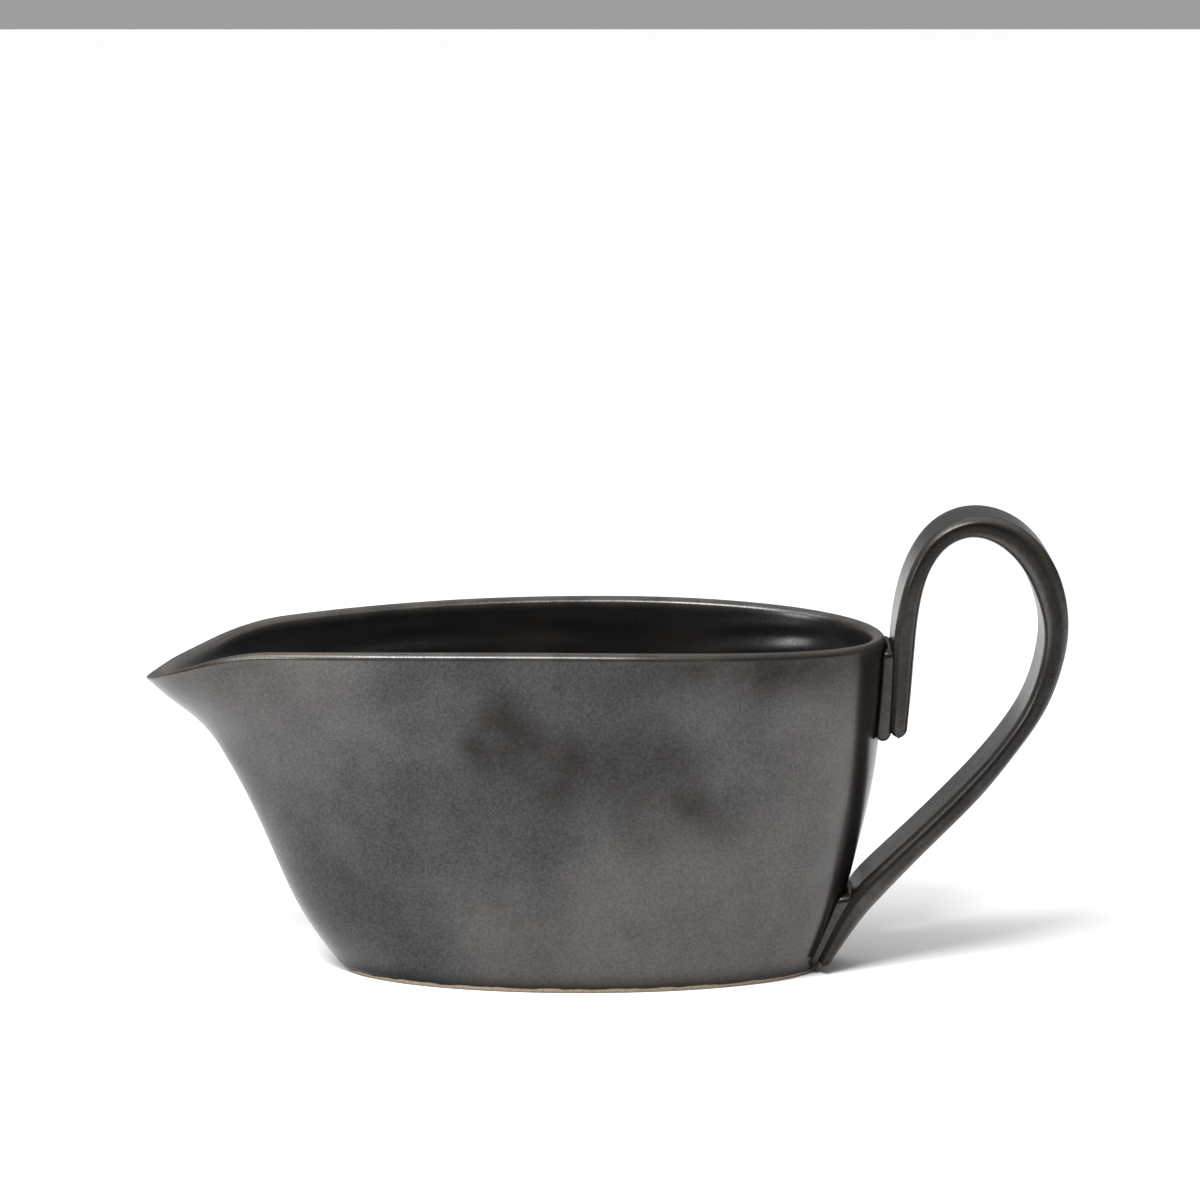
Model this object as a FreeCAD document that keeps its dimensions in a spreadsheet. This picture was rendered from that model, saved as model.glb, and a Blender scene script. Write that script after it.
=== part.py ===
"""Stoneware sauce boat: a bowl with a pulled spout, a strap handle and the two lutes between them.

Millimetres. +X points to the handle, -X to the spout and +Z up. The origin is the middle of
the foot, at the level of the table.
"""

import FreeCAD, Part

import math
import os

import Sketcher
from FreeCAD import Vector

# Driving dimensions. Each name is the alias of a cell in the sheet "Sizes".
SIZES = {
    "foot_ring_width": 7.0,
    "foot_recess_depth": 1.6,
    "foot_edge_radius": 0.8,
    "rim_height": 84.0,
    "rim_drop_at_ends": 2.4,
    "rim_half_run": 72.0,
    "rim_edge_radius": 1.3,
    "spout_bend_run": 17.0,
    "spout_slope": 0.41,
    "strap_width": 21.0,
    "strap_thickness": 5.3,
    "strap_end_thickness": 4.4,
    "strap_toe_thickness": 3.2,
    "strap_taper_run": 22.0,
    "strap_edge_radius": 1.2,
    "lute_width": 20.2,
}

# Edges flatter than this lie in a plane, and a rim edge runs at least this far along the bowl.
FLAT = 0.01
RIM_EDGE_RUN = 8.0

# How far the first pole of an arc stands off, as a share of its half axis.
QUARTER = 0.5523
WALL_NOSE = 0.17
CAVITY_NOSE = 0.12

# The outer wall and the cavity, from the bottom up.
SECTION_NAMES = ("height", "spout_reach", "handle_reach", "half_width")
WALL_SECTIONS = (
    (0.0, 57.4, 57.4, 27.0),
    (12.0, 66.4, 61.8, 29.9),
    (26.0, 73.3, 65.7, 32.6),
    (40.0, 79.3, 69.0, 35.1),
    (52.0, 85.6, 71.0, 36.9),
    (61.0, 92.4, 71.9, 38.1),
    (68.0, 101.6, 72.4, 38.9),
    (74.0, 108.6, 72.7, 39.4),
    (87.0, 112.9, 73.2, 40.0),
)
CAVITY_SECTIONS = (
    (7.0, 57.0, 55.0, 23.6),
    (26.0, 69.2, 62.1, 29.0),
    (40.0, 75.2, 65.4, 31.5),
    (52.0, 81.4, 67.4, 33.3),
    (61.0, 87.4, 68.3, 34.5),
    (68.0, 95.8, 68.8, 35.3),
    (74.0, 104.0, 69.1, 35.8),
    (90.0, 110.0, 69.8, 36.6),
)

# The strap's middle line in side view, from its upper end to its toe.
STRAP_LINE = (
    (75.4, 58.0),
    (76.2, 70.0),
    (76.9, 82.5),
    (78.4, 92.5),
    (81.1, 100.1),
    (85.8, 106.0),
    (92.6, 108.7),
    (100.5, 106.9),
    (107.1, 101.0),
    (111.2, 92.6),
    (112.7, 84.0),
    (111.5, 74.6),
    (108.0, 65.0),
    (101.9, 55.5),
    (93.6, 45.3),
    (84.7, 36.1),
    (74.2, 25.6),
    (67.1, 17.8),
    (61.7, 9.4),
    (57.8, 2.2),
)
# How much thicker than usual the strap is at each of those points.
STRAP_SWELL = (
    0.0, 0.0, 0.0, -0.3, -0.7, -0.6, 0.0, 1.2, 1.9, 1.7,
    0.8, 0.1, -0.4, -0.6, -0.1, 0.0, 0.5, 0.9, 0.7, 0.0,
)
# Side views of the clay behind the strap, before the wall and the strap are taken out of it.
UPPER_LUTE_OUTLINE = ((66.0, 56.4), (74.4, 56.4), (75.4, 80.4), (66.0, 80.4))
LOWER_LUTE_OUTLINE = ((48.0, 1.4), (57.6, 1.4), (61.7, 9.4), (67.1, 17.8), (69.2, 20.6), (62.0, 23.5))


def make_sheet(doc):
    """Put every driving dimension in a cell of its own, with its name as the alias."""
    sheet = doc.addObject("Spreadsheet::Sheet", "Sizes")
    rows = list(SIZES.items())
    for group, sections in (("wall", WALL_SECTIONS), ("cavity", CAVITY_SECTIONS)):
        for index, section in enumerate(sections):
            for name, value in zip(SECTION_NAMES, section):
                rows.append((f"{group}_{index}_{name}", value))
    for row, (alias, value) in enumerate(rows, start=1):
        sheet.set(f"A{row}", alias)
        sheet.set(f"B{row}", str(value))
        sheet.setAlias(f"B{row}", alias)
    doc.recompute()
    return sheet


def make_sketch(body, name, role):
    """A sketch on the body's own origin plane with this role, such as XY_Plane."""
    sketch = body.newObject("Sketcher::SketchObject", name)
    plane = next(item for item in body.Origin.OriginFeatures if item.Role == role)
    sketch.AttachmentSupport = [(plane, "")]
    sketch.MapMode = "FlatFace"
    return sketch


def chain(sketch, curves):
    """Add curves that run on from one another round a closed outline, and tie their ends."""
    for curve in curves:
        sketch.addGeometry(curve, False)
    for index in range(len(curves)):
        following = (index + 1) % len(curves)
        gaps = []
        for end in (1, 2):
            for start in (1, 2):
                gap = sketch.getPoint(index, end).distanceToPoint(sketch.getPoint(following, start))
                gaps.append((gap, end, start))
        _, end, start = min(gaps)
        sketch.addConstraint(Sketcher.Constraint("Coincident", index, end, following, start))


def spline(points, start, end):
    """A curve through flat points that leaves and arrives in the given directions."""
    curve = Part.BSplineCurve()
    vectors = [Vector(x, y, 0) for x, y in points]
    curve.interpolate(Points=vectors, InitialTangent=start, FinalTangent=end)
    return curve


def plan_poles(share, spout_reach, handle_reach, half_width, nose):
    """Poles of one half of the plan: two cubic arcs that meet where the bowl is widest.

    At the foot, a share of 0, both arcs are quarters of an ellipse. Towards the rim, a share
    of 1, the spout's arc draws in to a narrow nose and the handle's turns a little squarer.
    """
    blunt = QUARTER + (nose - QUARTER) * share
    flank = QUARTER + 0.07 * share
    square = QUARTER + 0.07 * share
    middle = 8.0 * share
    front = middle + spout_reach
    back = handle_reach - middle
    return (
        (-spout_reach, 0.0),
        (-spout_reach, blunt * half_width),
        (middle - flank * front, half_width),
        (middle, half_width),
        (middle + square * back, half_width),
        (handle_reach, square * half_width),
        (handle_reach, 0.0),
    )


def side_surface(size, group, count, nose):
    """A smooth surface through one half of every section of the group."""
    heights = [size(f"{group}_{index}_height") for index in range(count)]
    columns = []
    for index, height in enumerate(heights):
        values = [size(f"{group}_{index}_{name}") for name in SECTION_NAMES[1:]]
        share = height / size("rim_height")
        columns.append([Vector(x, y, height) for x, y in plan_poles(share, *values, nose)])
    rows = []
    for points in zip(*columns):
        curve = Part.BSplineCurve()
        curve.interpolate(Points=list(points), Parameters=heights)
        rows.append(curve)
    surface = Part.BSplineSurface()
    surface.buildFromPolesMultsKnots(
        [curve.getPoles() for curve in rows],
        (4, 3, 4),
        rows[0].getMultiplicities(),
        (0.0, 1.0, 2.0),
        rows[0].getKnots(),
        False,
        False,
        3,
        rows[0].Degree,
    )
    return surface


def flared_solid(size, group, count, nose):
    """The solid inside the sections: two mirrored sides, closed flat at the bottom and the top."""
    far_side = side_surface(size, group, count, nose).toShape()
    near_side = far_side.mirror(Vector(0, 0, 0), Vector(0, 1, 0))
    faces = [far_side, near_side]
    for last in (0, -1):
        height = size(f"{group}_{last % count}_height")
        edges = []
        for side in (far_side, near_side):
            edges += [edge for edge in side.Edges if edge.BoundBox.ZLength < 0.01
                      and abs(edge.BoundBox.ZMin - height) < 0.01]
        faces.append(Part.Face(Part.Wire(Part.sortEdges(edges)[0])))
    shell = Part.Shell(faces)
    shell.sewShape()
    solid = Part.Solid(shell)
    if solid.Volume < 0:
        solid.reverse()
    return solid


def add_solid(doc, name, shape):
    """A plain feature of the document that holds the shape."""
    feature = doc.addObject("Part::Feature", name)
    feature.Shape = shape
    feature.Placement = FreeCAD.Placement()
    return feature


def cut_through(body, name, sketch):
    """Pocket the sketch through everything, both ways from its plane."""
    pocket = body.newObject("PartDesign::Pocket", name)
    pocket.Profile = sketch
    pocket.SideType = "Symmetric"
    pocket.Type = "ThroughAll"
    return pocket


def rim_sketch(body, size):
    """All that lies above the rim in side view: a long shallow arc, a bend and the spout's slope."""
    half_run = size("rim_half_run")
    top = size("rim_height")
    ends = top - size("rim_drop_at_ends")
    first = math.atan(2.0 * size("rim_drop_at_ends") / half_run)
    last = math.atan(size("spout_slope"))
    radius = size("spout_bend_run") / (math.sin(last) - math.sin(first))

    def bend(angle):
        across = radius * (math.sin(angle) - math.sin(first))
        down = radius * (math.cos(first) - math.cos(angle))
        return Vector(-half_run - across, ends - down, 0)

    start, middle, finish = bend(first), bend(0.5 * (first + last)), bend(last)
    over = 40.0
    tip = Vector(finish.x - over, finish.y - over * size("spout_slope"), 0)
    right = Vector(half_run, ends, 0)
    corners = [right, Vector(half_run + over, ends, 0), Vector(half_run + over, top + over, 0)]
    corners += [Vector(tip.x, top + over, 0), tip]
    curves = [Part.LineSegment(a, b) for a, b in zip(corners, corners[1:])]
    curves.append(Part.LineSegment(tip, finish))
    curves.append(Part.Arc(finish, middle, start))
    curves.append(Part.Arc(start, Vector(0, top, 0), right))
    sketch = make_sketch(body, "rim_line", "XZ_Plane")
    chain(sketch, curves)
    return sketch


def add_fillet(body, base, name, edges, radius_cell):
    """Round the named edges of the base feature."""
    fillet = body.newObject("PartDesign::Fillet", name)
    fillet.Base = (base, edges)
    fillet.setExpression("Radius", f"Sizes.{radius_cell}")
    return fillet


def edges_where(shape, test):
    """Names of the edges of the shape that pass the test."""
    return [f"Edge{index}" for index, edge in enumerate(shape.Edges, start=1) if test(edge)]


def foot_recess(body, size):
    """Hollow the foot from below, inside a ring that the bowl stands on."""
    ring = size("foot_ring_width")
    sketch = make_sketch(body, "foot_recess_plan", "XY_Plane")
    long_radius = size("wall_0_spout_reach") - ring
    short_radius = size("wall_0_half_width") - ring
    sketch.addGeometry(Part.Ellipse(Vector(0, 0, 0), long_radius, short_radius), False)
    sketch.addConstraint(Sketcher.Constraint("Coincident", 0, 3, -1, 1))
    recess = body.newObject("PartDesign::Pocket", "foot_recess")
    recess.Profile = sketch
    recess.Reversed = True
    recess.setExpression("Length", "Sizes.foot_recess_depth")
    return recess


def build_bowl(doc, size):
    """The bowl: the outer wall less the cavity, cut to the rim's line, with a recess in the foot.

    Returns the body and the solid of its outer wall, which the lutes are fitted to.
    """
    wall = add_solid(doc, "outer_wall", flared_solid(size, "wall", len(WALL_SECTIONS), WALL_NOSE))
    cavity = add_solid(doc, "cavity", flared_solid(size, "cavity", len(CAVITY_SECTIONS), CAVITY_NOSE))
    hollow = doc.addObject("Part::Cut", "hollow_wall")
    hollow.Base = wall
    hollow.Tool = cavity
    body = doc.addObject("PartDesign::Body", "bowl")
    body.BaseFeature = hollow
    doc.recompute()
    rim = cut_through(body, "rim_cut", rim_sketch(body, size))
    doc.recompute()
    recess = foot_recess(body, size)
    doc.recompute()
    print("cut from the rim", round(hollow.Shape.Volume - rim.Shape.Volume), "mm3")
    print("cut from the foot", round(rim.Shape.Volume - recess.Shape.Volume), "mm3")
    lowest_rim = size("wall_6_height")
    rim_edges = edges_where(
        recess.Shape,
        lambda edge: edge.BoundBox.ZMin > lowest_rim and edge.BoundBox.XLength > RIM_EDGE_RUN,
    )
    rim_round = add_fillet(body, recess, "rim_round", rim_edges, "rim_edge_radius")
    doc.recompute()
    foot_edges = edges_where(
        rim_round.Shape,
        lambda edge: edge.BoundBox.ZMax < FLAT and edge.BoundBox.XMax > size("wall_0_handle_reach") - FLAT,
    )
    add_fillet(body, rim_round, "foot_round", foot_edges, "foot_edge_radius")
    doc.recompute()
    return body, wall.Shape


def strap_sides(size):
    """Points of the strap's two sides, square to its middle line, thinner towards its ends."""
    runs = [0.0]
    for a, b in zip(STRAP_LINE, STRAP_LINE[1:]):
        runs.append(runs[-1] + math.dist(a, b))
    full = size("strap_thickness")
    left, right = [], []
    for index, (x, z) in enumerate(STRAP_LINE):
        back = STRAP_LINE[max(index - 1, 0)]
        ahead = STRAP_LINE[min(index + 1, len(STRAP_LINE) - 1)]
        length = math.dist(back, ahead)
        along = ((ahead[0] - back[0]) / length, (ahead[1] - back[1]) / length)
        near_end = max(0.0, 1.0 - runs[index] / size("strap_taper_run"))
        near_toe = max(0.0, 1.0 - (runs[-1] - runs[index]) / size("strap_taper_run"))
        thickness = full - near_end * (full - size("strap_end_thickness"))
        thickness -= near_toe * (full - size("strap_toe_thickness"))
        half = 0.5 * (thickness + STRAP_SWELL[index])
        left.append((x - half * along[1], z + half * along[0]))
        right.append((x + half * along[1], z - half * along[0]))
    return left, right


def direction(a, b):
    """The way from one flat point to another."""
    return Vector(b[0] - a[0], b[1] - a[1], 0).normalize()


def round_end(a, b):
    """Half a circle from one flat point to another, bulging to the left of someone walking it."""
    start, finish = Vector(a[0], a[1], 0), Vector(b[0], b[1], 0)
    middle = (start + finish) * 0.5
    across = finish - start
    bulge = Vector(-across.y, across.x, 0) * 0.5
    return Part.Arc(start, middle + bulge, finish)


def build_handle(doc, size):
    """The strap: its side view padded to its width, with all its long edges rounded."""
    body = doc.addObject("PartDesign::Body", "strap_handle")
    left, right = strap_sides(size)
    back = right[::-1]
    first = direction(STRAP_LINE[0], STRAP_LINE[1])
    last = direction(STRAP_LINE[-2], STRAP_LINE[-1])
    outer = spline(left, first, last)
    inner = spline(back, -last, -first)
    sketch = make_sketch(body, "strap_side", "XZ_Plane")
    toe = round_end(left[-1], right[-1])
    end = round_end(right[0], left[0])
    chain(sketch, [outer, toe, inner, end])
    strap = body.newObject("PartDesign::Pad", "strap")
    strap.Profile = sketch
    strap.SideType = "Symmetric"
    strap.setExpression("Length", "Sizes.strap_width")
    doc.recompute()
    long_edges = edges_where(strap.Shape, lambda edge: edge.BoundBox.YLength < FLAT)
    add_fillet(body, strap, "strap_round", long_edges, "strap_edge_radius")
    doc.recompute()
    return body


def build_lute(doc, size, name, outline, envelope, handle):
    """Clay between the wall and the strap: a block with both of them taken out of it."""
    block = doc.addObject("PartDesign::Body", f"{name}_block")
    sketch = make_sketch(block, f"{name}_side", "XZ_Plane")
    corners = [Vector(x, z, 0) for x, z in outline]
    chain(sketch, [Part.LineSegment(a, b) for a, b in zip(corners, corners[1:] + corners[:1])])
    pad = block.newObject("PartDesign::Pad", f"{name}_pad")
    pad.Profile = sketch
    pad.SideType = "Symmetric"
    pad.setExpression("Length", "Sizes.lute_width")
    doc.recompute()
    clay = block.Shape.cut(envelope).cut(handle.Shape)
    return add_solid(doc, name, max(clay.Solids, key=lambda solid: solid.Volume))


def check(doc, parts):
    """Stop with a message if a feature failed or a piece isn't one valid solid."""
    for item in doc.Objects:
        if "Invalid" in item.State or "Error" in item.State:
            raise RuntimeError(f"{item.Label} is {item.State}")
    for part in parts:
        shape = part.Shape
        if shape.isNull() or not shape.isValid() or len(shape.Solids) != 1:
            raise RuntimeError(f"{part.Label} isn't one valid solid")
        box = shape.optimalBoundingBox(False, False)
        print(part.Label, f"{shape.Volume:.0f} mm3", f"x {box.XMin:.1f} to {box.XMax:.1f}",
              f"y {box.YMin:.1f} to {box.YMax:.1f}", f"z {box.ZMin:.1f} to {box.ZMax:.1f}")


def main():
    """Build the four pieces, check them and write one file for each."""
    doc = FreeCAD.newDocument("sauce_boat")
    sheet = make_sheet(doc)

    def size(alias):
        return float(sheet.get(alias))

    bowl, envelope = build_bowl(doc, size)
    handle = build_handle(doc, size)
    upper = build_lute(doc, size, "upper_lute", UPPER_LUTE_OUTLINE, envelope, handle)
    lower = build_lute(doc, size, "lower_lute", LOWER_LUTE_OUTLINE, envelope, handle)
    parts = (bowl, handle, upper, lower)
    doc.recompute()
    check(doc, parts)
    os.makedirs("parts", exist_ok=True)
    for part in parts:
        part.Shape.exportStep(f"parts/{part.Label}.step")


main()
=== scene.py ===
"""Looks of a stoneware sauce boat: bowl, strap handle and the two lutes that join them.

Shapes are worked out in millimetres and turned into metres when a mesh is made. +X points to
the handle, -X to the spout and +Z up, with the origin in the middle of the foot.
"""

import logging
import math
from dataclasses import dataclass, field
from enum import Enum
from typing import Callable

import bmesh
import bpy
import numpy as np
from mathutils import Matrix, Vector, noise


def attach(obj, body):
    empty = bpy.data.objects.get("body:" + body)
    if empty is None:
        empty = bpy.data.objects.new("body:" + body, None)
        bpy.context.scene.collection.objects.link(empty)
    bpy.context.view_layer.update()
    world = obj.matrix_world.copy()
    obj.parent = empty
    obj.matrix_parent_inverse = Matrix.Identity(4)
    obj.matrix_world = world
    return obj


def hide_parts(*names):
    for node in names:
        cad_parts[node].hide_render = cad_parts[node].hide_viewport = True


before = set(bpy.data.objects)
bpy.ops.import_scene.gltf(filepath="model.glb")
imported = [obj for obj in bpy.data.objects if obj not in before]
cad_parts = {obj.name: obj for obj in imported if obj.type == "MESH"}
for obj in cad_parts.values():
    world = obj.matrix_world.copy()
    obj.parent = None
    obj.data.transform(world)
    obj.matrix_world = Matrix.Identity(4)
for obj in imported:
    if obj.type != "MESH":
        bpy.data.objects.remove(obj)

LOG = logging.getLogger("sauce_boat")
MM = 0.001


class Joint(Enum):
    """The two places where the strap is luted to the wall."""

    UPPER = "upper"
    LOWER = "lower"


def smoothstep(low: float, high: float, values: np.ndarray) -> np.ndarray:
    """Ease from 0 at one value to 1 at another.

    Args:
        low: The value that gives 0.
        high: The value that gives 1. It may be below low.
        values: The values to ease.

    Returns:
        Shares from 0 to 1.
    """
    share = np.clip((values - low) / (high - low), 0.0, 1.0)
    return share * share * (3.0 - 2.0 * share)


def cubic_through(knots: np.ndarray, values: np.ndarray) -> Callable[[np.ndarray], np.ndarray]:
    """Fit a smooth cubic curve through the values, straight at both ends.

    Args:
        knots: Rising places along the curve.
        values: One number, or one row of numbers, at each knot.

    Returns:
        A function from places to the curve's values there.
    """
    knots = np.asarray(knots, float)
    values = np.asarray(values, float).reshape(len(knots), -1)
    gaps = np.diff(knots)
    slopes = np.diff(values, axis=0) / gaps[:, None]
    system = np.eye(len(knots))
    right = np.zeros_like(values)
    for row in range(1, len(knots) - 1):
        system[row, row - 1] = gaps[row - 1]
        system[row, row] = 2.0 * (gaps[row - 1] + gaps[row])
        system[row, row + 1] = gaps[row]
        right[row] = 6.0 * (slopes[row] - slopes[row - 1])
    bends = np.linalg.solve(system, right)

    def curve(places: np.ndarray) -> np.ndarray:
        """The curve's values at the places."""
        places = np.asarray(places, float)
        at = np.clip(np.searchsorted(knots, places) - 1, 0, len(gaps) - 1)
        gap = gaps[at][..., None]
        after = (places - knots[at])[..., None]
        before = gap - after
        cubic = (bends[at] * before ** 3 + bends[at + 1] * after ** 3) / (6.0 * gap)
        linear = (values[at] / gap - bends[at] * gap / 6.0) * before
        linear += (values[at + 1] / gap - bends[at + 1] * gap / 6.0) * after
        return (cubic + linear).squeeze(-1) if values.shape[1] == 1 else cubic + linear

    return curve


def bernstein(share: np.ndarray) -> np.ndarray:
    """Weights of a cubic arc's four poles at each share of the way along it."""
    rest = 1.0 - share
    return np.stack([rest ** 3, 3 * share * rest ** 2, 3 * share ** 2 * rest, share ** 3], -1)


def grid_object(name: str, points: np.ndarray, around: bool, capped: bool) -> bpy.types.Object:
    """Turn a grid of points into a mesh object of four-sided faces.

    Args:
        name: The new object's name.
        points: Rows by columns by three, in millimetres.
        around: Whether the last column runs on into the first.
        capped: Whether the first and last rows are closed with one face each.

    Returns:
        The object, linked to the scene, with smooth faces that point outwards.
    """
    rows, columns = points.shape[:2]
    faces = []
    for row in range(rows - 1):
        for column in range(columns if around else columns - 1):
            after = (column + 1) % columns
            low, high = row * columns, (row + 1) * columns
            faces.append((low + column, low + after, high + after, high + column))
    if capped:
        faces.append(tuple(range(columns))[::-1])
        faces.append(tuple(range((rows - 1) * columns, rows * columns)))
    mesh = bpy.data.meshes.new(name)
    mesh.from_pydata((points.reshape(-1, 3) * MM).tolist(), [], faces)
    return finished_object(name, mesh)


def finished_object(name: str, mesh: bpy.types.Mesh) -> bpy.types.Object:
    """Merge a mesh's doubles, point its faces outwards, smooth it and link an object to it.

    Args:
        name: The new object's name.
        mesh: The mesh, in metres, which is changed in place.

    Returns:
        The object, linked to the scene.
    """
    work = bmesh.new()
    work.from_mesh(mesh)
    bmesh.ops.remove_doubles(work, verts=work.verts, dist=1e-6)
    bmesh.ops.dissolve_degenerate(work, edges=work.edges, dist=1e-7)
    bmesh.ops.recalc_face_normals(work, faces=work.faces)
    work.to_mesh(mesh)
    work.free()
    mesh.polygons.foreach_set("use_smooth", [True] * len(mesh.polygons))
    piece = bpy.data.objects.new(name, mesh)
    bpy.context.scene.collection.objects.link(piece)
    return piece


def store_mask(piece: bpy.types.Object, name: str, values: np.ndarray) -> None:
    """Keep one number for each vertex of the piece under a name that its finish reads.

    Args:
        piece: The piece to mark.
        name: The mask's name.
        values: One number for each vertex.
    """
    attribute = piece.data.attributes.new(name, "FLOAT", "POINT")
    attribute.data.foreach_set("value", np.asarray(values, np.float32))


def runs_along(points: np.ndarray) -> np.ndarray:
    """How far along the line each of its points is."""
    return np.concatenate([[0.0], np.cumsum(np.linalg.norm(np.diff(points, axis=0), axis=1))])


def vertices_mm(piece: bpy.types.Object) -> np.ndarray:
    """The piece's vertices in millimetres."""
    flat = np.zeros(len(piece.data.vertices) * 3)
    piece.data.vertices.foreach_get("co", flat)
    return flat.reshape(-1, 3) / MM


def soft_noise(points: np.ndarray, span: float, seed: float) -> np.ndarray:
    """Smooth noise over points.

    Args:
        points: Any shape of points, in millimetres.
        span: How wide the lumps are, in millimetres.
        seed: Which part of the noise to read.

    Returns:
        A value from 0 to 1 for each point.
    """
    flat = points.reshape(-1, 3) / span + seed
    values = [noise.noise(Vector(point)) for point in flat]
    return np.clip(0.5 + 0.5 * np.array(values), 0.0, 1.0).reshape(points.shape[:-1])


@dataclass(frozen=True)
class Wall:
    """One face of the bowl's wall, as sections from the bottom up, in millimetres."""

    heights: tuple[float, ...]
    spout_reach: tuple[float, ...]
    handle_reach: tuple[float, ...]
    half_width: tuple[float, ...]
    nose: float
    rim_height: float = 84.0
    quarter: float = 0.5523
    flank_growth: float = 0.07
    widest_shift: float = 8.0

    def sizes(self, height: np.ndarray) -> np.ndarray:
        """Reach to the spout, reach to the handle and half width at each height."""
        table = np.stack([self.spout_reach, self.handle_reach, self.half_width], -1)
        return cubic_through(np.array(self.heights), table)(height)

    def points(self, height: np.ndarray, basis: "Columns", inset: np.ndarray) -> np.ndarray:
        """Points of the wall.

        Args:
            height: Rows by columns of heights.
            basis: The places of the columns round the plan.
            inset: How far the plan is drawn in at each point.

        Returns:
            Rows by columns by three.
        """
        spout, handle, half = np.moveaxis(self.sizes(height), -1, 0)
        spout, handle, half = spout - inset, handle - inset, half - inset
        share = height / self.rim_height
        blunt = self.quarter + (self.nose - self.quarter) * share
        flank = self.quarter + self.flank_growth * share
        middle = self.widest_shift * share
        front, back = middle + spout, handle - middle
        none = np.zeros_like(height)
        along = (-spout, -spout, middle - flank * front, middle, middle + flank * back, handle, handle)
        across = (none, blunt * half, half, half, half, flank * half, none)
        x = sum(weight * pole for weight, pole in zip(basis.weights.T, along))
        y = sum(weight * pole for weight, pole in zip(basis.weights.T, across)) * basis.side
        return np.stack([x, y, height], -1)


@dataclass(frozen=True)
class Columns:
    """Where the bowl's columns of points stand round its plan."""

    front_steps: int = 88
    back_steps: int = 52

    @property
    def places(self) -> tuple[np.ndarray, np.ndarray]:
        """Each column's place along its half of the plan, from 0 to 2, and its side, 1 or -1."""
        front = np.linspace(0.0, 1.0, self.front_steps, endpoint=False)
        back = np.linspace(1.0, 2.0, self.back_steps + 1)
        half = np.concatenate([front, back])
        place = np.concatenate([half, half[-2:0:-1]])
        side = np.concatenate([np.ones(len(half)), -np.ones(len(half) - 2)])
        return place, side

    @property
    def side(self) -> np.ndarray:
        """1 for a column on the far side, -1 on the near side."""
        return self.places[1]

    @property
    def weights(self) -> np.ndarray:
        """Weights of the plan's seven poles for each column."""
        place, _ = self.places
        table = np.zeros((len(place), 7))
        front = place < 1.0
        table[front, 0:4] = bernstein(place[front])
        table[~front, 3:7] = bernstein(place[~front] - 1.0)
        return table


OUTER_WALL = Wall(
    heights=(0.0, 12.0, 26.0, 40.0, 52.0, 61.0, 68.0, 74.0, 87.0),
    spout_reach=(57.4, 66.4, 73.3, 79.3, 85.6, 92.4, 101.6, 108.6, 112.9),
    handle_reach=(57.4, 61.8, 65.7, 69.0, 71.0, 71.9, 72.4, 72.7, 73.2),
    half_width=(27.0, 29.9, 32.6, 35.1, 36.9, 38.1, 38.9, 39.4, 40.0),
    nose=0.17,
)
INNER_WALL = Wall(
    heights=(7.0, 26.0, 40.0, 52.0, 61.0, 68.0, 74.0, 90.0),
    spout_reach=(57.0, 69.2, 75.2, 81.4, 87.4, 95.8, 104.0, 110.0),
    handle_reach=(55.0, 62.1, 65.4, 67.4, 68.3, 68.8, 69.1, 69.8),
    half_width=(23.6, 29.0, 31.5, 33.3, 34.5, 35.3, 35.8, 36.6),
    nose=0.12,
)


@dataclass(frozen=True)
class RimLine:
    """The rim's top in side view: a shallow arc, a bend and the spout's slope, in millimetres."""

    top: float = 84.0
    drop_at_ends: float = 2.4
    half_run: float = 72.0
    bend_run: float = 17.0
    spout_slope: float = 0.41

    def height(self, x: np.ndarray) -> np.ndarray:
        """The rim's height at each place along the bowl."""
        radius = (self.half_run ** 2 + self.drop_at_ends ** 2) / (2.0 * self.drop_at_ends)
        arc = self.top - radius + np.sqrt(radius ** 2 - np.clip(x, -self.half_run, None) ** 2)
        first = 2.0 * self.drop_at_ends / self.half_run
        past = np.clip(-x - self.half_run, 0.0, None)
        bend = np.clip(past, None, self.bend_run)
        grow = (self.spout_slope - first) / self.bend_run
        down = first * bend + 0.5 * grow * bend ** 2
        down += self.spout_slope * np.clip(past - self.bend_run, 0.0, None)
        return arc - down


@dataclass(frozen=True)
class Pool:
    """A soft patch of darker glaze on one side of the wall. Sizes in millimetres."""

    x: float
    z: float
    wide: float
    tall: float
    depth: float
    side: int = -1
    warp_up: float = 0.8
    side_blend: float = 12.0

    def weight(self, points: np.ndarray, warp: np.ndarray) -> np.ndarray:
        """How dark the patch makes each point.

        Args:
            points: The points, in millimetres.
            warp: How far the patch's outline is bent at each point.

        Returns:
            A share for each point, 0 on the bowl's other side.
        """
        across = (points[..., 0] - self.x + warp) / self.wide
        up = (points[..., 2] - self.z + self.warp_up * warp) / self.tall
        here = smoothstep(0.0, self.side_blend, points[..., 1] * self.side)
        return self.depth * np.exp(-across ** 2 - up ** 2) * here


POOLS = (
    Pool(-21.0, 64.0, 7.0, 15.0, 0.6),
    Pool(0.0, 58.0, 26.0, 15.0, 0.66),
    Pool(-84.0, 78.0, 16.0, 7.0, 0.5),
    Pool(27.0, 45.0, 19.0, 10.0, 0.5),
    Pool(-59.0, 23.0, 9.0, 12.0, 0.4),
    Pool(44.0, 80.0, 32.0, 8.0, 0.95),
    Pool(-36.0, 50.0, 22.0, 12.0, 0.8, side=1),
    Pool(24.0, 62.0, 14.0, 14.0, 0.7, side=1),
)


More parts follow.
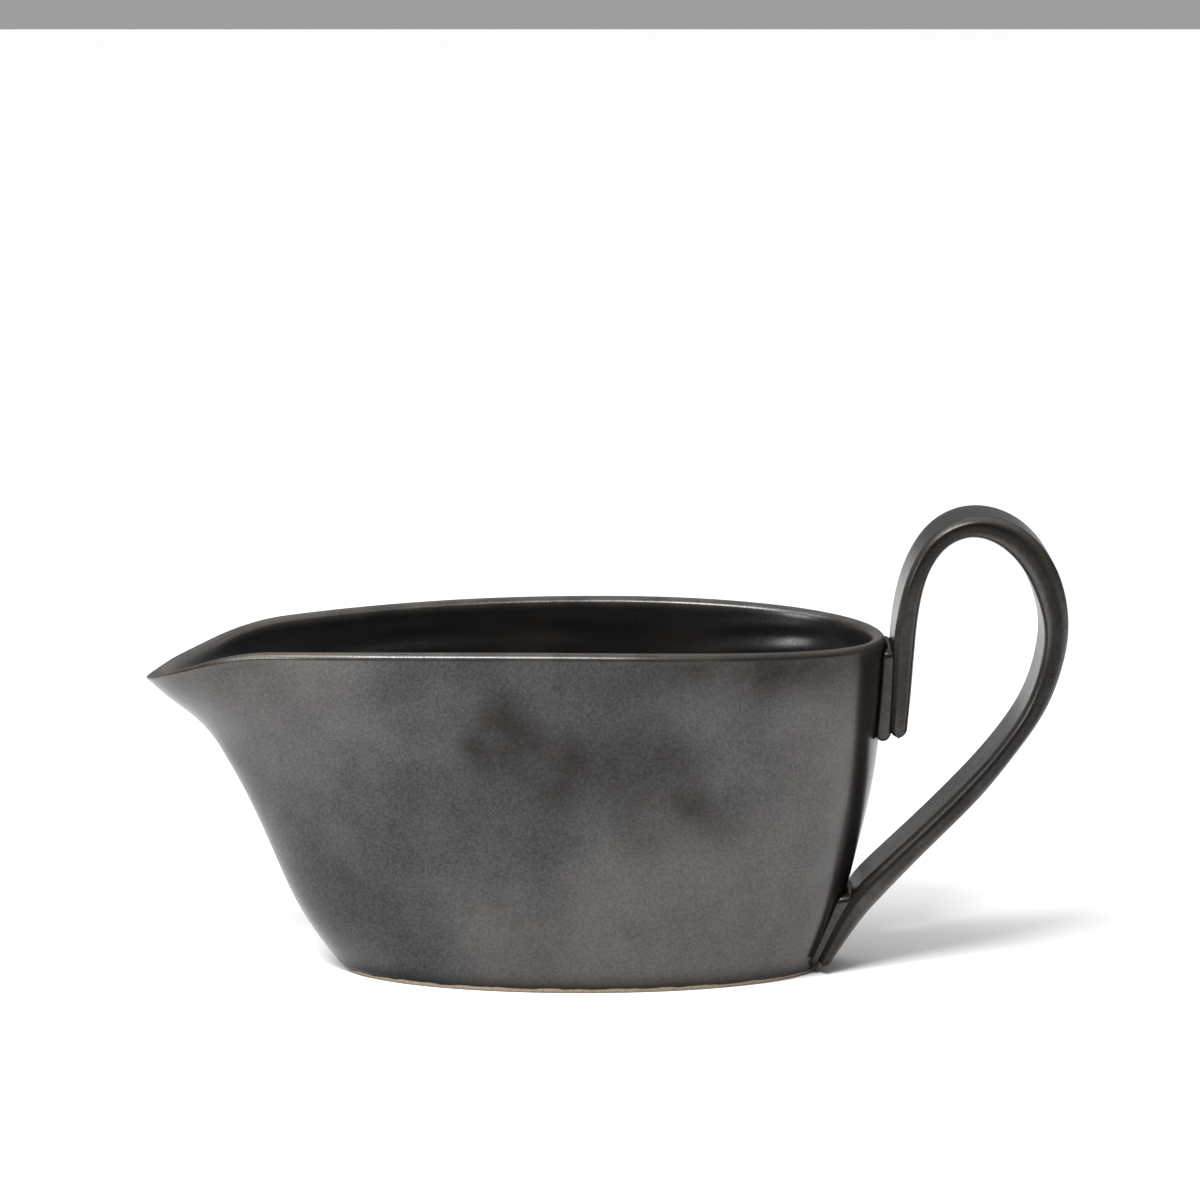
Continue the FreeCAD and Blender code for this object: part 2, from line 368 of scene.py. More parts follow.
@dataclass
class Bowl:
    """The bowl with its foot, wall, rim and spout, as one closed skin. Sizes in millimetres."""

    outer: Wall = OUTER_WALL
    inner: Wall = INNER_WALL
    rim: RimLine = RimLine()
    columns: Columns = Columns()
    lip_rise: float = 1.75
    floor: float = 7.0
    floor_corner: float = 11.0
    foot_edge: float = 0.5
    bare_height: float = 1.3
    glaze_step: float = 0.28
    ring_width: float = 7.0
    recess: float = 1.5
    lip_guess: float = 80.0
    lip_passes: int = 30
    lip_pull: float = 0.6
    unevenness: float = 0.3
    edge_fade: tuple[float, float] = (3.2, 0.2)
    pool_warp: float = 22.0
    ring_depth: float = 0.38
    ring_pitch: float = 7.4
    ring_drift: float = 1.3
    ring_start: float = 5.0
    tip_from: float = 97.0
    tip_to: float = 105.2
    tip_blunting: float = 1.06
    outer_rows: int = 72
    lip_rows: int = 14
    inner_rows: int = 96
    floor_rows: int = 12

    def lip(self) -> tuple[np.ndarray, np.ndarray, np.ndarray, np.ndarray]:
        """Find where the wall ends under the rounded lip in every column.

        Returns:
            The height where the lip starts, the lip's middle, the way across the wall and the
            way up along it.
        """
        count = len(self.columns.side)
        none = np.zeros((1, count))
        start = np.full((1, count), self.lip_guess)
        for _ in range(self.lip_passes):
            outside = self.outer.points(start, self.columns, none)
            inside = self.inner.points(start, self.columns, none)
            below = self.outer.points(start - 1.0, self.columns, none)
            below = 0.5 * (below + self.inner.points(start - 1.0, self.columns, none))
            middle = 0.5 * (outside + inside)
            up = middle - below
            up /= np.linalg.norm(up, axis=-1, keepdims=True)
            crest = middle + self.lip_rise * up
            start = start + self.lip_pull * (self.rim.height(crest[..., 0]) - crest[..., 2])
        return start, middle, 0.5 * (inside - outside), self.lip_rise * up

    def outside_rows(self, start: np.ndarray) -> np.ndarray:
        """Rows from the foot's rounded edge up the outer wall to the lip.

        Args:
            start: The height where the lip starts in every column.

        Returns:
            Rows by columns by three.
        """
        clay = np.array([0.0, 0.12, 0.35, 0.6, 0.9, 1.15, self.bare_height])
        glaze = self.bare_height + np.array([0.12, 0.3, 0.6, 1.1, 1.8, 2.8])
        low = np.concatenate([clay, glaze])
        share = np.linspace(0.0, 1.0, self.outer_rows + 1)[1:]
        count = start.shape[1]
        high = low[-1] + share[:, None] * (start - low[-1])
        height = np.concatenate([np.repeat(low[:, None], count, 1), high])
        rounding = np.clip(1.0 - height / self.foot_edge, 0.0, 1.0)
        inset = self.foot_edge * (1.0 - np.sqrt(1.0 - rounding ** 2))
        inset += self.glaze_step * (1.0 - smoothstep(self.bare_height, self.bare_height + 0.5, height))
        return self.outer.points(height, self.columns, inset)

    def inside_rows(self, start: np.ndarray) -> np.ndarray:
        """Rows from the lip down the inner wall and round the corner onto the floor.

        Args:
            start: The height where the lip starts in every column.

        Returns:
            Rows by columns by three.
        """
        corner_top = self.floor + self.floor_corner
        share = np.linspace(0.0, 1.0, self.inner_rows + 1)[1:]
        wall = start + share[:, None] * (corner_top - start)
        angle = np.linspace(0.0, 0.5 * math.pi, 14)[1:]
        corner = corner_top - self.floor_corner * np.sin(angle)
        corner = np.repeat(corner[:, None], start.shape[1], 1)
        height = np.concatenate([wall, corner])
        below = np.clip((corner_top - height) / self.floor_corner, 0.0, 1.0)
        inset = self.floor_corner * (1.0 - np.sqrt(1.0 - below ** 2))
        smooth = self.inner.points(height, self.columns, inset)
        strength = smoothstep(0.35, 0.7, soft_noise(smooth, span=21.0, seed=8.4))
        strength *= smoothstep(0.0, self.ring_start, start - height)
        turns = height / self.ring_pitch + self.ring_drift * soft_noise(smooth, span=40.0, seed=5.7)
        inset += self.ring_depth * strength * (0.5 + 0.5 * np.sin(2.0 * math.pi * turns))
        return self.inner.points(height, self.columns, inset)

    def shrunk_rows(self, edge: np.ndarray, shares: np.ndarray, heights: np.ndarray) -> np.ndarray:
        """Rows that draw an outline in to its middle.

        Args:
            edge: The outline, as columns by three.
            shares: How much of the outline's size each row keeps.
            heights: Each row's height.

        Returns:
            Rows by columns by three.
        """
        middle = np.array([0.5 * (edge[:, 0].min() + edge[:, 0].max()), 0.0, 0.0])
        rows = middle + (edge - middle) * shares[:, None, None]
        rows[..., 2] = heights[:, None]
        return rows

    def underside_rows(self) -> np.ndarray:
        """Rows from the middle of the recess out to the foot's edge."""
        count = len(self.columns.side)
        level = np.zeros((1, count))
        ring = self.ring_width
        edge = self.foot_edge + self.glaze_step
        inner_edge = self.outer.points(level, self.columns, level + ring + 1.4)[0]
        shares = np.concatenate([[0.0], np.linspace(0.15, 1.0, 9)])
        rows = [self.shrunk_rows(inner_edge, shares, np.full(len(shares), self.recess))]
        slope = ((ring + 0.9, 1.35), (ring + 0.5, 0.9), (ring, 0.25))
        sole = ((ring - 0.5, 0.0), (0.5 * ring, 0.0), (edge + 0.1, 0.0))
        for inset, height in slope + sole:
            row = self.outer.points(level, self.columns, level + inset)
            row[..., 2] = height
            rows.append(row)
        return np.concatenate(rows)

    def build(self) -> bpy.types.Object:
        """Make the bowl's mesh, with masks for the band under its rim and for its glaze pools."""
        start, middle, across, up = self.lip()
        outside = self.outside_rows(start)
        angle = np.linspace(0.0, math.pi, self.lip_rows + 1)[1:-1][:, None, None]
        lip = middle - np.cos(angle) * across + np.sin(angle) * up
        inside = self.inside_rows(start)
        shares = np.linspace(1.0, 0.0, self.floor_rows + 1)[1:]
        floor = self.shrunk_rows(inside[-1], shares, self.floor - 0.5 * (1.0 - shares ** 2))
        rows = np.concatenate([self.underside_rows(), outside, lip, inside, floor])
        rows = self.roughen(rows)
        piece = grid_object("bowl_body", rows, around=True, capped=False)
        points = vertices_mm(piece)
        crest = self.rim.height(points[:, 0])
        # The edge mask marks the band just under the rim's crest, which the glaze lightens as a painted
        # highlight.
        store_mask(piece, "edge", smoothstep(*self.edge_fade, crest - points[:, 2]))
        warp = self.pool_warp * (soft_noise(points, span=16.0, seed=2.2) - 0.5)
        store_mask(piece, "pool_and_shade", sum(pool_and_shade.weight(points, warp) for pool_and_shade in POOLS))
        return piece

    def roughen(self, rows: np.ndarray) -> np.ndarray:
        """Draw the wall in a little here and there, as hands leave it, and blunt the spout's tip.

        Args:
            rows: The whole skin, as rows by columns by three.

        Returns:
            The same rows, moved.
        """
        middle = np.array([0.5 * self.outer.widest_shift, 0.0, 0.0])
        ways = (rows - middle) * np.array([1.0, 1.0, 0.0])
        ways /= np.maximum(np.linalg.norm(ways, axis=-1, keepdims=True), 1e-6)
        amount = self.unevenness * soft_noise(rows, span=34.0, seed=3.1)
        amount *= smoothstep(0.5, 14.0, rows[..., 2])
        rows = rows - ways * amount[..., None]
        rows[..., 0] += self.tip_blunting * smoothstep(-self.tip_from, -self.tip_to, rows[..., 0])
        return rows


STRAP_LINE = (
    (75.4, 58.0),
    (76.2, 70.0),
    (76.9, 82.5),
    (78.4, 92.5),
    (81.1, 100.1),
    (85.8, 106.0),
    (92.6, 108.7),
    (100.5, 106.9),
    (107.1, 101.0),
    (111.2, 92.6),
    (112.7, 84.0),
    (111.5, 74.6),
    (108.0, 65.0),
    (101.9, 55.5),
    (93.6, 45.3),
    (84.7, 36.1),
    (74.2, 25.6),
    (67.1, 17.8),
    (61.7, 9.4),
    (57.8, 2.2),
)
# How much thicker than usual the strap is at each point of its line.
STRAP_SWELL = (
    0.0, 0.0, 0.0, -0.3, -0.7, -0.6, 0.0, 1.2, 1.9, 1.7,
    0.8, 0.1, -0.4, -0.6, -0.1, 0.0, 0.5, 0.9, 0.7, 0.0,
)


class Tree:
    """A Geometry Nodes tree that is being built."""

    def __init__(self, name: str) -> None:
        """Start an empty tree with a geometry going in and one coming out."""
        self.group = bpy.data.node_groups.new(name, "GeometryNodeTree")
        self.group.interface.new_socket("Geometry", in_out="INPUT", socket_type="NodeSocketGeometry")
        self.group.interface.new_socket("Geometry", in_out="OUTPUT", socket_type="NodeSocketGeometry")
        self.start = self.group.nodes.new("NodeGroupInput")
        self.end = self.group.nodes.new("NodeGroupOutput")
        self.values: dict[str, float] = {}

    def number(self, name: str, value: float) -> bpy.types.NodeSocket:
        """Add a named number going in.

        Args:
            name: The input's name.
            value: What the modifier is to set it to.

        Returns:
            The socket where the number comes out of the input node.
        """
        socket = self.group.interface.new_socket(name, in_out="INPUT", socket_type="NodeSocketFloat")
        self.values[socket.identifier] = value
        return self.start.outputs[name]

    def fit(self, holder: bpy.types.Object) -> None:
        """Put the tree on an object as a modifier, and set every number by its identifier."""
        modifier = holder.modifiers.new(self.group.name, "NODES")
        modifier.node_group = self.group
        for identifier, value in self.values.items():
            modifier[identifier] = value

    def add(self, kind: str, **values: object) -> bpy.types.Node:
        """Add a node and set its properties."""
        node = self.group.nodes.new(kind)
        for name, value in values.items():
            setattr(node, name, value)
        return node

    def plug(self, source: bpy.types.NodeSocket | float | tuple, target: bpy.types.NodeSocket) -> None:
        """Link a socket to an input, or set the input to a plain value."""
        if isinstance(source, bpy.types.NodeSocket):
            self.group.links.new(source, target)
        else:
            target.default_value = source

    def math(self, operation: str, *sources: bpy.types.NodeSocket | float) -> bpy.types.NodeSocket:
        """Combine numbers with one operation."""
        node = self.add("ShaderNodeMath", operation=operation)
        for source, target in zip(sources, node.inputs):
            self.plug(source, target)
        return node.outputs[0]

    def vector(self, operation: str, *sources: bpy.types.NodeSocket | tuple) -> bpy.types.Node:
        """Combine vectors with one operation."""
        node = self.add("ShaderNodeVectorMath", operation=operation)
        for source, target in zip(sources, node.inputs):
            self.plug(source, target)
        return node


@dataclass
class StrapHandle:
    """The flat strap: a rounded oblong drawn along its middle line. Sizes in millimetres."""

    line: tuple[tuple[float, float], ...] = STRAP_LINE
    swell: tuple[float, ...] = STRAP_SWELL
    width: float = 20.9
    thickness: float = 5.2
    end_share: float = 0.83
    toe_share: float = 0.6
    taper_run: float = 22.0
    corner: float = 2.25
    corner_steps: int = 10
    step: float = 0.45
    unevenness: float = 0.16
    lumps: float = 42.0
    # Painted shade: how much sheen the strap's flats lose, so that they read darker than its edges.
    flat_painted_shade: float = 0.95
    side_fade: tuple[float, float] = (2.6, 0.4)
    face_fade: tuple[float, float] = (1.8, 0.2)

    def middle_line(self, steps: int = 260) -> np.ndarray:
        """Points along the strap's middle.

        Args:
            steps: How many points.

        Returns:
            The points, from the strap's upper end to its toe.
        """
        points = np.array(self.line)
        runs = runs_along(points)
        flat = cubic_through(runs, points)(np.linspace(0.0, runs[-1], steps))
        return np.stack([flat[:, 0], np.zeros(steps), flat[:, 1]], -1)

    def swelling(self, steps: int = 260) -> np.ndarray:
        """How thick the strap is along its middle line.

        Args:
            steps: How many points.

        Returns:
            Shares of the usual thickness, one for each point.
        """
        runs = runs_along(np.array(self.line))
        extra = cubic_through(runs, np.array(self.swell))(np.linspace(0.0, runs[-1], steps))
        return 1.0 + extra / self.thickness

    def tree(self) -> Tree:
        """Nodes that sweep the oblong along a curve and thin it towards both ends."""
        tree = Tree("strap_sweep")
        width = tree.number("Width", self.width * MM)
        thickness = tree.number("Thickness", self.thickness * MM)
        corner = tree.number("Corner Radius", self.corner * MM)
        step = tree.number("Step", self.step * MM)
        taper = tree.number("Taper Run", self.taper_run * MM)
        end_share = tree.number("End Share", self.end_share)
        toe_share = tree.number("Toe Share", self.toe_share)
        uneven = tree.number("Unevenness", self.unevenness * MM)
        resample = tree.add("GeometryNodeResampleCurve", mode="LENGTH")
        tree.plug(tree.start.outputs["Geometry"], resample.inputs["Curve"])
        tree.plug(step, resample.inputs["Length"])
        upright = tree.add("GeometryNodeSetCurveNormal", mode="FREE")
        tree.plug(resample.outputs[0], upright.inputs["Curve"])
        tree.plug((0.0, 1.0, 0.0), upright.inputs["Normal"])
        capture = tree.add("GeometryNodeCaptureAttribute", domain="POINT")
        for kind, name in (("VECTOR", "Middle"), ("VECTOR", "Way")):
            capture.capture_items.new(kind, name)
        for name in ("Run", "Left", "Swell"):
            capture.capture_items.new("FLOAT", name)
        tree.plug(upright.outputs[0], capture.inputs["Geometry"])
        spline = tree.add("GeometryNodeSplineParameter")
        whole = tree.add("GeometryNodeSplineLength")
        tree.plug(tree.add("GeometryNodeInputPosition").outputs[0], capture.inputs["Middle"])
        tree.plug(tree.add("GeometryNodeInputTangent").outputs[0], capture.inputs["Way"])
        tree.plug(spline.outputs["Length"], capture.inputs["Run"])
        left = tree.math("SUBTRACT", whole.outputs["Length"], spline.outputs["Length"])
        tree.plug(left, capture.inputs["Left"])
        tree.plug(tree.add("GeometryNodeInputRadius").outputs[0], capture.inputs["Swell"])
        even = tree.add("GeometryNodeSetCurveRadius")
        even.inputs["Radius"].default_value = 1.0
        tree.plug(capture.outputs["Geometry"], even.inputs["Curve"])
        oblong = tree.add("GeometryNodeCurvePrimitiveQuadrilateral", mode="RECTANGLE")
        tree.plug(width, oblong.inputs["Width"])
        tree.plug(thickness, oblong.inputs["Height"])
        fine = tree.add("GeometryNodeResampleCurve", mode="LENGTH")
        rounded = tree.add("GeometryNodeFilletCurve", mode="POLY")
        tree.plug(oblong.outputs[0], rounded.inputs["Curve"])
        rounded.inputs["Count"].default_value = self.corner_steps
        tree.plug(corner, rounded.inputs["Radius"])
        tree.plug(rounded.outputs[0], fine.inputs["Curve"])
        tree.plug(step, fine.inputs["Length"])
        sweep = tree.add("GeometryNodeCurveToMesh")
        tree.plug(even.outputs[0], sweep.inputs["Curve"])
        tree.plug(fine.outputs[0], sweep.inputs["Profile Curve"])
        sweep.inputs["Fill Caps"].default_value = True
        moved = tree.add("GeometryNodeSetPosition")
        tree.plug(sweep.outputs[0], moved.inputs["Geometry"])
        place = tree.add("GeometryNodeInputPosition").outputs[0]
        across = tree.vector("CROSS_PRODUCT", capture.outputs["Way"], (0.0, 1.0, 0.0)).outputs[0]
        from_middle = tree.vector("SUBTRACT", place, capture.outputs["Middle"]).outputs[0]
        depth = tree.vector("DOT_PRODUCT", from_middle, across).outputs["Value"]
        share = self.end_shape(tree, capture.outputs["Run"], taper, end_share, thickness)
        toe = self.end_shape(tree, capture.outputs["Left"], taper, toe_share, thickness)
        share = tree.math("MULTIPLY", tree.math("MULTIPLY", share, toe), capture.outputs["Swell"])
        push = tree.math("MULTIPLY", depth, tree.math("SUBTRACT", share, 1.0))
        offset = tree.add("ShaderNodeVectorMath", operation="SCALE")
        tree.plug(across, offset.inputs[0])
        tree.plug(push, offset.inputs["Scale"])
        tree.plug(offset.outputs[0], moved.inputs["Offset"])
        tree.plug(self.finished(tree, moved.outputs[0], uneven), tree.end.inputs[0])
        return tree

    @staticmethod
    def end_shape(
        tree: Tree,
        run: bpy.types.NodeSocket,
        taper: bpy.types.NodeSocket,
        share: bpy.types.NodeSocket,
        thickness: bpy.types.NodeSocket,
    ) -> bpy.types.NodeSocket:
        """How thick the strap is a run away from one end, as a share of its full thickness.

        Args:
            tree: The tree to add to.
            run: Distance from the end.
            taper: Distance over which the strap thins.
            share: The share that is left at the end.
            thickness: The full thickness, which the round of the end is as long as.

        Returns:
            The share at that run, falling in a round to nothing at the very end.
        """
        near = tree.math("SUBTRACT", 1.0, tree.math("DIVIDE", run, taper))
        near = tree.math("MAXIMUM", near, 0.0)
        thin = tree.math("SUBTRACT", 1.0, tree.math("MULTIPLY", near, tree.math("SUBTRACT", 1.0, share)))
        half = tree.math("MULTIPLY", thickness, tree.math("MULTIPLY", share, 0.5))
        short = tree.math("MAXIMUM", tree.math("SUBTRACT", 1.0, tree.math("DIVIDE", run, half)), 0.0)
        inside = tree.math("SUBTRACT", 1.0, tree.math("MULTIPLY", short, short))
        rounding = tree.math("SQRT", tree.math("MAXIMUM", inside, 0.0))
        return tree.math("MULTIPLY", thin, rounding)

    def finished(
        self, tree: Tree, mesh: bpy.types.NodeSocket, amount: bpy.types.NodeSocket
    ) -> bpy.types.NodeSocket:
        """Sink the surface a little here and there, as hands leave it, and make it one real mesh.

        Args:
            tree: The tree to add to.
            mesh: The swept strap.
            amount: The deepest that the surface sinks.

        Returns:
            The tree's last socket.
        """
        lumps = tree.add("ShaderNodeTexNoise")
        lumps.inputs["Scale"].default_value = self.lumps
        lumps.inputs["Detail"].default_value = 1.0
        normal = tree.add("GeometryNodeInputNormal")
        sink = tree.math("MULTIPLY", tree.math("MULTIPLY", lumps.outputs[0], amount), -1.0)
        way = tree.add("ShaderNodeVectorMath", operation="SCALE")
        tree.plug(normal.outputs[0], way.inputs[0])
        tree.plug(sink, way.inputs["Scale"])
        moved = tree.add("GeometryNodeSetPosition")
        tree.plug(mesh, moved.inputs["Geometry"])
        tree.plug(way.outputs[0], moved.inputs["Offset"])
        whole = tree.add("GeometryNodeRealizeInstances")
        tree.plug(moved.outputs[0], whole.inputs[0])
        dressed = tree.add("GeometryNodeSetMaterial")
        tree.plug(whole.outputs[0], dressed.inputs["Geometry"])
        return dressed.outputs[0]

    def build(self) -> bpy.types.Object:
        """Sweep the strap, keep it as a plain mesh and mask its long edges."""
        line = bpy.data.curves.new("strap_line", "CURVE")
        line.dimensions = "3D"
        path = line.splines.new("POLY")
        points = self.middle_line() * MM
        path.points.add(len(points) - 1)
        path.points.foreach_set("co", np.column_stack([points, np.ones(len(points))]).ravel())
        path.points.foreach_set("radius", self.swelling(len(points)))
        holder = bpy.data.objects.new("strap_path", line)
        bpy.context.scene.collection.objects.link(holder)
        self.tree().fit(holder)
        bpy.context.view_layer.update()
        evaluated = holder.evaluated_get(bpy.context.evaluated_depsgraph_get())
        mesh = bpy.data.meshes.new_from_object(evaluated)
        mesh.name = "strap"
        bpy.data.objects.remove(holder)
        piece = finished_object("strap", mesh)
        edge = self.edge_mask(vertices_mm(piece))
        # The edge mask marks the strap's long edges, which the glaze lightens as a painted highlight.
        store_mask(piece, "edge", edge)
        # Painted shade on the flats: the pool mask dulls the sheen away from the edges.
        store_mask(piece, "pool_and_shade", self.flat_painted_shade * (1.0 - edge))
        return piece

    def edge_mask(self, points: np.ndarray) -> np.ndarray:
        """Find the strap's four long edges.

        Args:
            points: The strap's vertices, in millimetres.

        Returns:
            1 along the edges, easing to 0 on the flats.
        """
        line = self.middle_line()
        gaps = np.linalg.norm(points[:, None, ::2] - line[None, :, ::2], axis=-1)
        beside = smoothstep(*(0.5 * self.width - fade for fade in self.side_fade), np.abs(points[:, 1]))
        depth = smoothstep(*(0.5 * self.thickness - fade for fade in self.face_fade), gaps.min(1))
        return beside * depth


@dataclass
class Lute:
    """A pad of clay squeezed between the wall and the strap. Sizes in millimetres."""

    joint: Joint
    low: float
    high: float
    wall: Wall = OUTER_WALL
    strap: StrapHandle = field(default_factory=StrapHandle)
    width: float = 19.3
    sunk: float = 0.7
    # Painted shade: how much the pool mask dulls the pad's sheen, as shade between strap and wall.
    pool_and_shade: float = 0.55
    round_run: float = 2.2
    squareness: float = 0.36
    plan_power: float = 2.0
    plan_power_growth: float = 0.35
    near_wall: float = 80.0
    strap_steps: int = 900
    rows: int = 40
    columns: int = 24

    def wall_reach(self, height: np.ndarray, across: np.ndarray) -> np.ndarray:
        """How far the wall reaches to the handle.

        Args:
            height: Heights up the wall.
            across: Distances from the bowl's middle plane, one for each height.

        Returns:
            The wall's place along the bowl at each of them.
        """
        spout, handle, half = np.moveaxis(self.wall.sizes(height), -1, 0)
        share = height / self.wall.rim_height
        middle = self.wall.widest_shift * share
        power = self.plan_power + self.plan_power_growth * share
        rest = 1.0 - np.clip(np.abs(across) / half, 0.0, 1.0) ** power
        return middle + (handle - middle) * rest ** (1.0 / power)

    def strap_reach(self, height: np.ndarray) -> np.ndarray:
        """How far out the face of the strap that looks at the wall stands.

        Args:
            height: Heights up the wall.

        Returns:
            The face's place along the bowl at each height.
        """
        line = self.strap.middle_line(self.strap_steps)[:, ::2]
        ways = np.gradient(line, axis=0)
        ways /= np.linalg.norm(ways, axis=1, keepdims=True)
        runs = runs_along(line)
        near = np.clip(1.0 - runs / self.strap.taper_run, 0.0, 1.0)
        toe = np.clip(1.0 - (runs[-1] - runs) / self.strap.taper_run, 0.0, 1.0)
        share = (1.0 - near * (1.0 - self.strap.end_share)) * (1.0 - toe * (1.0 - self.strap.toe_share))
        half = 0.5 * self.strap.thickness * share
        descending = ways[:, 1] < 0.0
        faces = line + np.stack([-ways[:, 1], ways[:, 0]], -1) * half[:, None]
        faces[descending] = (line + np.stack([ways[:, 1], -ways[:, 0]], -1) * half[:, None])[descending]
        upper = ~descending & (line[:, 0] < self.near_wall)
        lower = descending & (line[:, 0] < self.near_wall)
        chosen = faces[upper if self.joint is Joint.UPPER else lower]
        order = np.argsort(chosen[:, 1])
        return np.interp(height, chosen[order, 1], chosen[order, 0])

    def build(self) -> bpy.types.Object:
        """Make the pad: its faces sunk in the wall and the strap, its sides and ends round."""
        height = np.linspace(0.0, 1.0, self.rows)
        height = self.low + (self.high - self.low) * (0.5 - 0.5 * np.cos(math.pi * height))
        from_end = np.minimum(height - self.low, self.high - height)
        short = np.clip(1.0 - from_end / self.round_run, 0.0, 1.0)
        swell = np.sqrt(1.0 - short ** 2)
        turn = np.linspace(0.0, 2.0 * math.pi, 4 * self.columns, endpoint=False)
        across = np.sign(np.cos(turn)) * np.abs(np.cos(turn)) ** self.squareness
        depth = np.sign(np.sin(turn)) * np.abs(np.sin(turn)) ** self.squareness
        half = 0.5 * self.width - self.round_run * (1.0 - swell)
        y = across[None, :] * half[:, None]
        z = np.repeat(height[:, None], len(turn), 1)
        near = self.wall_reach(z, y) - self.sunk
        far = np.repeat((self.strap_reach(height) + self.sunk)[:, None], len(turn), 1)
        middle, thick = 0.5 * (near + far), 0.5 * (far - near) * swell[:, None]
        rows = np.stack([middle + depth[None, :] * thick, y, z], -1)
        piece = grid_object(f"{self.joint.value}_pad", rows, around=True, capped=False)
        count = len(piece.data.vertices)
        # No painted edge highlight on the pad.
        store_mask(piece, "edge", np.zeros(count))
        store_mask(piece, "pool_and_shade", np.full(count, self.pool_and_shade))
        return piece


class NodeKit:
    """The nodes of one material, or of the surround, that are being built."""

    def __init__(self, owner: bpy.types.Material | bpy.types.World, space: str) -> None:
        """Start on the owner's usual nodes, with patterns laid out in the named space."""
        owner.use_nodes = True
        self.nodes = owner.node_tree.nodes
        self.links = owner.node_tree.links
        self.place = self.nodes.new("ShaderNodeTexCoord").outputs[space]

    def texture(self, scale: float, detail: float, rough: float) -> bpy.types.NodeSocket:
        """Noise of one scale.

        Args:
            scale: How many lumps there are to a metre, roughly.
            detail: How many finer layers lie over them.
            rough: How strong the finer layers are.

        Returns:
            The noise, from 0 to 1.
        """
        node = self.nodes.new("ShaderNodeTexNoise")
        node.inputs["Scale"].default_value = scale
        node.inputs["Detail"].default_value = detail
        node.inputs["Roughness"].default_value = rough
        self.links.new(self.place, node.inputs["Vector"])
        return node.outputs["Fac"]

    def split_place(self) -> bpy.types.NodeOutputs:
        """The place's three parts, X, Y and Z."""
        split = self.nodes.new("ShaderNodeSeparateXYZ")
        self.links.new(self.place, split.inputs[0])
        return split.outputs

    def mask(self, name: str) -> bpy.types.NodeSocket:
        """The number that store_mask kept under the name."""
        node = self.nodes.new("ShaderNodeAttribute")
        node.attribute_name = name
        return node.outputs["Fac"]

    def between(self, value: bpy.types.NodeSocket, *ends: float) -> bpy.types.NodeSocket:
        """Map a range of the value onto another, eased at both ends.

        Args:
            value: The value.
            ends: Two ends to map from and two to map to.

        Returns:
            The mapped value.
        """
        node = self.nodes.new("ShaderNodeMapRange")
        node.interpolation_type = "SMOOTHSTEP"
        self.links.new(value, node.inputs["Value"])
        for target, end in zip(("From Min", "From Max", "To Min", "To Max"), ends):
            node.inputs[target].default_value = end
        return node.outputs["Result"]

    def blend(self, share: bpy.types.NodeSocket, first: object, second: object) -> bpy.types.NodeSocket:
        """Blend two colours.

        Args:
            share: How much of the second colour there is.
            first: A socket or a plain colour.
            second: A socket or a plain colour.

        Returns:
            The blended colour.
        """
        node = self.nodes.new("ShaderNodeMix")
        node.data_type = "RGBA"
        self.links.new(share, node.inputs["Factor"])
        for value, target in ((first, node.inputs["A"]), (second, node.inputs["B"])):
            if isinstance(value, tuple):
                target.default_value = (*value, 1.0)
            else:
                self.links.new(value, target)
        return node.outputs["Result"]

    def combine(self, operation: str, *values: object) -> bpy.types.NodeSocket:
        """Combine numbers.

        Args:
            operation: What to do with them.
            values: Sockets or plain numbers.

        Returns:
            The combined number.
        """
        node = self.nodes.new("ShaderNodeMath")
        node.operation = operation
        for value, target in zip(values, node.inputs):
            if isinstance(value, float):
                target.default_value = value
            else:
                self.links.new(value, target)
        return node.outputs[0]


@dataclass(frozen=True)
class Patterns:
    """The patterns that the glaze's colour, shine and relief are all read from."""

    patches: bpy.types.NodeSocket
    warmth: bpy.types.NodeSocket
    blotches: bpy.types.NodeSocket
    grain: bpy.types.NodeSocket
    pooled_and_shaded: bpy.types.NodeSocket
    glazed: bpy.types.NodeSocket


